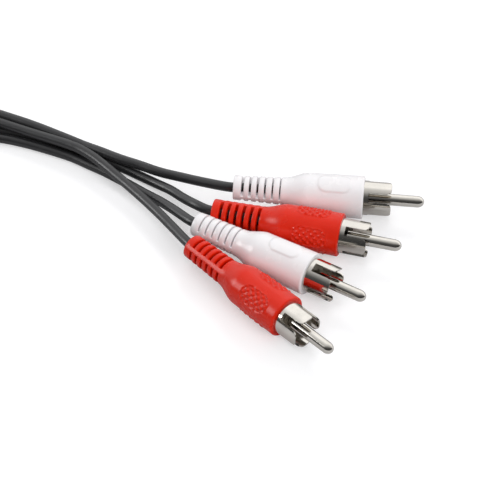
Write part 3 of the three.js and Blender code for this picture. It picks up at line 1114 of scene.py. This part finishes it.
@dataclass
class Strap:
    """The strap round the coil, a flat band with rounded corners, sizes in millimetres."""

    coil: Coil = field(default_factory=Coil)
    angle: float = 180.0
    width: float = 6.0
    thickness: float = 0.6
    half_depth: float = 5.6
    height: float = 8.7
    corner: float = 1.4
    corner_points: int = 9

    def build(self, palette: Palette) -> bpy.types.Object:
        """Make and dress the strap.

        Args:
            palette: the finishes.

        Returns:
            The new piece.
        """
        inset = self.thickness / 2
        half, top, corner = self.half_depth - inset, self.height - inset, self.corner
        centres = [(half - corner, inset + corner), (half - corner, top - corner),
                   (-half + corner, top - corner), (-half + corner, inset + corner)]
        loop = np.array([
            (x + corner * math.cos(a), z + corner * math.sin(a)) for i, (x, z) in enumerate(centres)
            for a in np.linspace(i * math.pi / 2 - math.pi / 2, i * math.pi / 2, self.corner_points)])
        section = ((0.5, -inset), (0.5, inset), (-0.5, inset), (-0.5, -inset))
        outwards = np.sign(loop - [0, (inset + top) / 2])
        corners = [
            (x + grow * out_x, side * self.width, z + grow * out_z)
            for (x, z), (out_x, out_z) in zip(loop, outwards)
            for side, grow in section]
        faces = grid_faces(len(loop), len(section), closed=True)
        at = math.radians(self.angle)
        spot = Vector((self.coil.centre[0] + self.coil.mean_radius * math.cos(at),
                       self.coil.centre[1] + self.coil.mean_radius * math.sin(at), 0)) * MM
        place = Matrix.Translation(spot) @ Matrix.Rotation(at, 4, "Z")
        piece = piece_from("coil_strap", np.array(corners), faces, place)
        settle(piece, Slot.TIE, palette, "coil_tie")
        return piece


# Studio


@dataclass(frozen=True)
class Lamp:
    """A square soft lamp that faces the cable, with its place and side in metres.

    Its power is in watts. It may only fill, with no highlight of its own, or only shine.
    """

    name: str
    at: Point
    side: float
    power: float
    fills: bool = True
    shines: bool = True

    def build(self) -> None:
        """Make the lamp and turn it to the cable."""
        data = bpy.data.lights.new(self.name, "AREA")
        data.size = self.side
        data.energy = self.power
        lamp = bpy.data.objects.new(self.name, data)
        lamp.location = self.at
        lamp.rotation_euler = (-Vector(self.at)).to_track_quat("-Z", "Y").to_euler()
        lamp.visible_diffuse, lamp.visible_glossy = self.fills, self.shines
        link(lamp)


@dataclass
class Studio:
    """Camera, floor and soft light, sizes in metres and levels by degrees over the zenith."""

    camera_at: Point = (-0.0176, -0.4026, 0.4316)
    elevation: float = 46.0
    view_angle: float = 12.407
    sensor_mm: float = 36.0
    view_range: tuple[float, float] = (0.01, 20.0)
    floor_size: float = 6.0
    floor_colour: str = "D2D2D4"
    floor_lift: float = 0.43
    lamps: tuple[Lamp, ...] = (
        Lamp("front", (0.5, -0.6, 0.55), 0.4, 2.6, shines=False),
        Lamp("back", (0.1, 0.6, 0.5), 0.25, 1.6, shines=False),
        Lamp("left", (-0.85, 0.0, 0.4), 0.42, 3.8, fills=False),
    )
    sky: Levels = (
        (0, 0.35), (15, 0.5), (35, 0.85), (55, 0.9), (75, 0.82), (165, 0.8), (180, 0.65))
    low_share: float = 0.35
    full_height: float = 0.5
    reflections: Levels = (
        (0, 0.04), (30, 0.06), (50, 0.1), (66, 0.3), (80, 0.6), (104, 0.9), (118, 1.4), (165, 1.4),
        (180, 0.3))

    def build(self) -> None:
        """Make the camera, the floor, the lamps and the world."""
        self.camera()
        self.floor()
        for lamp in self.lamps:
            lamp.build()
        self.world()
        bpy.context.scene.view_settings.view_transform = "Standard"

    def camera(self) -> None:
        """Make the camera at the photograph's angle."""
        data = bpy.data.cameras.new("camera")
        data.sensor_width = self.sensor_mm
        data.lens = self.sensor_mm / 2 / math.tan(math.radians(self.view_angle / 2))
        data.clip_start, data.clip_end = self.view_range
        camera = bpy.data.objects.new("camera", data)
        camera.location = self.camera_at
        camera.rotation_euler = (math.radians(90 - self.elevation), 0, 0)
        link(camera)
        bpy.context.scene.camera = camera

    def floor(self) -> None:
        """Make the pale floor, which keeps the cable's shadow."""
        half = self.floor_size / 2
        mesh = bpy.data.meshes.new("floor")
        mesh.from_pydata([(-half, -half, 0), (half, -half, 0), (half, half, 0), (-half, half, 0)],
                         [], [(0, 1, 2, 3)])
        floor = bpy.data.objects.new("floor", mesh)
        link(floor)
        material, tree = empty_material("matt_white_floor")
        shade = add_node(tree, "ShaderNodeBsdfDiffuse", inputs={"Color": linear(self.floor_colour)})
        path = add_node(tree, "ShaderNodeLightPath")
        share = add_node(tree, "ShaderNodeMath", {"operation": "MULTIPLY"}, {
            0: path.outputs["Is Camera Ray"], 1: self.floor_lift})
        glow = add_node(tree, "ShaderNodeEmission", inputs={"Strength": share.outputs[0]})
        both = add_node(tree, "ShaderNodeAddShader", inputs={0: shade.outputs[0], 1: glow.outputs[0]})
        add_node(tree, "ShaderNodeOutputMaterial", inputs={"Surface": both.outputs[0]})
        mesh.materials.append(material)

    def world(self) -> None:
        """Make the world: white to the camera, and to the surfaces a dome of soft light overhead.

        The dome is dark low down on the camera's side, as a studio is, so that metal has its
        dark bands.
        """
        world = bpy.data.worlds.new("studio")
        world.use_nodes = True
        tree = world.node_tree
        tree.nodes.clear()
        way = add_node(tree, "ShaderNodeTexCoord").outputs["Generated"]
        axes = add_node(tree, "ShaderNodeSeparateXYZ", inputs={0: way})
        ahead = add_node(tree, "ShaderNodeMath", {"operation": "MULTIPLY"}, {
            0: axes.outputs[1], 1: -1.0})
        angle = add_node(tree, "ShaderNodeMath", {"operation": "ARCTAN2"}, {
            0: axes.outputs[2], 1: ahead.outputs[0]})
        share = add_node(tree, "ShaderNodeMath", {"operation": "DIVIDE"}, {
            0: angle.outputs[0], 1: math.pi})
        path = add_node(tree, "ShaderNodeLightPath")
        height = add_node(tree, "ShaderNodeMapRange", inputs={
            0: axes.outputs[2], 1: 0.0, 2: self.full_height, 3: self.low_share, 4: 1.0})
        lit = self.dome(tree, share.outputs[0], self.sky, height.outputs[0])
        mirrored = self.dome(tree, share.outputs[0], self.reflections)
        around = add_node(tree, "ShaderNodeMixShader", inputs={
            0: path.outputs["Is Glossy Ray"], 1: lit.outputs[0], 2: mirrored.outputs[0]})
        white = add_node(tree, "ShaderNodeBackground")
        both = add_node(tree, "ShaderNodeMixShader", inputs={
            0: path.outputs["Is Camera Ray"], 1: around.outputs[0], 2: white.outputs[0]})
        add_node(tree, "ShaderNodeOutputWorld", inputs={"Surface": both.outputs[0]})
        bpy.context.scene.world = world

    def dome(self, tree: bpy.types.NodeTree, share: Socket, levels: Levels,
             height: Socket | float = 1.0) -> bpy.types.Node:
        """Add a background whose strength follows the angle over the zenith.

        Args:
            tree: the world's nodes.
            share: the angle from the camera's horizon over the zenith, 1 for half a turn.
            levels: pairs of degrees and strength.
            height: a further share, which falls towards the horizon all round.

        Returns:
            The background node.
        """
        top = max(level for _, level in levels)
        ramp = add_node(tree, "ShaderNodeValToRGB", inputs={0: share})
        stops = ramp.color_ramp.elements
        stops.remove(stops[-1])
        for degrees, level in levels:
            stop = stops[0] if degrees == 0 else stops.new(degrees / 180)
            stop.color = (level / top, level / top, level / top, 1.0)
        strength = add_node(tree, "ShaderNodeMath", {"operation": "MULTIPLY"}, {0: height, 1: top})
        return add_node(tree, "ShaderNodeBackground", inputs={
            "Color": ramp.outputs[0], "Strength": strength.outputs[0]})


@dataclass
class PhonoCable:
    """The whole cable: plugs, cords, coil and strap."""

    palette: Palette
    tail_routes: dict[str, tuple[Point, ...]] = field(default_factory=lambda: {
        "end_a_white": ((-56.7, 44.7, 4.1), (-51.1, 41.6, 4.2), (-45.4, 38.9, 4.3), (-39.8, 36.1, 4.4),
                        (-34.2, 33.9, 4.7), (-28.6, 31.5, 5.3)),
        "end_a_red": ((-59, 42, 5), (-55.5, 38.6, 4.8), (-52.2, 35, 4.6), (-47.9, 30.2, 4.5),
                      (-43.6, 24.9, 4.6), (-39.3, 19.1, 4.9), (-36, 14.2, 5.3)),
        "end_b_red": ((-53.8, 42.7, 1.4), (-49.7, 40.4, 1.4), (-45.5, 37.6, 1.5), (-41.2, 34.5, 1.8),
                      (-36.7, 30.5, 2.9), (-33.2, 26.2, 4.2), (-29.6, 21.7, 6.1)),
        "end_b_white": ((-55.5, 39.4, 1.4), (-51.6, 36.6, 1.4), (-48.1, 33.9, 1.5), (-43.8, 30.2, 1.9),
                        (-39.6, 26.2, 2.9), (-35.6, 21.2, 4.6)),
    })

    def plugs(self) -> dict[str, PhonoPlug]:
        """The four plugs by name.

        Returns:
            The plugs, not yet built.
        """
        return {
            "end_a_white": PhonoPlug(
                "end_a_white", Slot.WHITE, Grip.SMOOTH, PlugPlace((-19.3, 28.3), 6.4, -79, -11),
                WHITE_PADS, (0.75, 0.35)),
            "end_a_red": PhonoPlug(
                "end_a_red", Slot.RED, Grip.KNURLED, PlugPlace((-30.4, 6.2), 45.8, 48, 38), RED_PADS),
            "end_b_red": PhonoPlug(
                "end_b_red", Slot.RED, Grip.KNURLED, PlugPlace((-24.9, 19.2), 14.9, -23, 6), RED_PADS),
            "end_b_white": PhonoPlug(
                "end_b_white", Slot.WHITE, Grip.SMOOTH, PlugPlace((-29.3, 14.3), 31.5, 85, -26),
                WHITE_PADS, (0.45, 0.45)),
        }

    def build(self) -> None:
        """Make and dress the cable, cords first."""
        plugs = self.plugs()
        tie = Strap().build(self.palette)
        cord = Cord()
        cord.lead(self.palette)
        for name, route in self.tail_routes.items():
            cord.tail(route, plugs[name], self.palette)
        for plug in plugs.values():
            plug.build(self.palette)
            for part, slot in (("inner_mould", Slot.NATURAL), ("core_wire", Slot.COPPER),
                               ("shield_wire", Slot.COPPER)):
                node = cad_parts[f"{plug.name}_{part}"]
                self.palette.dress(node, slot)


def main() -> None:
    """Build the studio and the cable."""
    logging.basicConfig(level=logging.INFO, format="%(message)s")
    Studio().build()
    PhonoCable(Palette().build()).build()


if __name__ == "__main__":
    main()
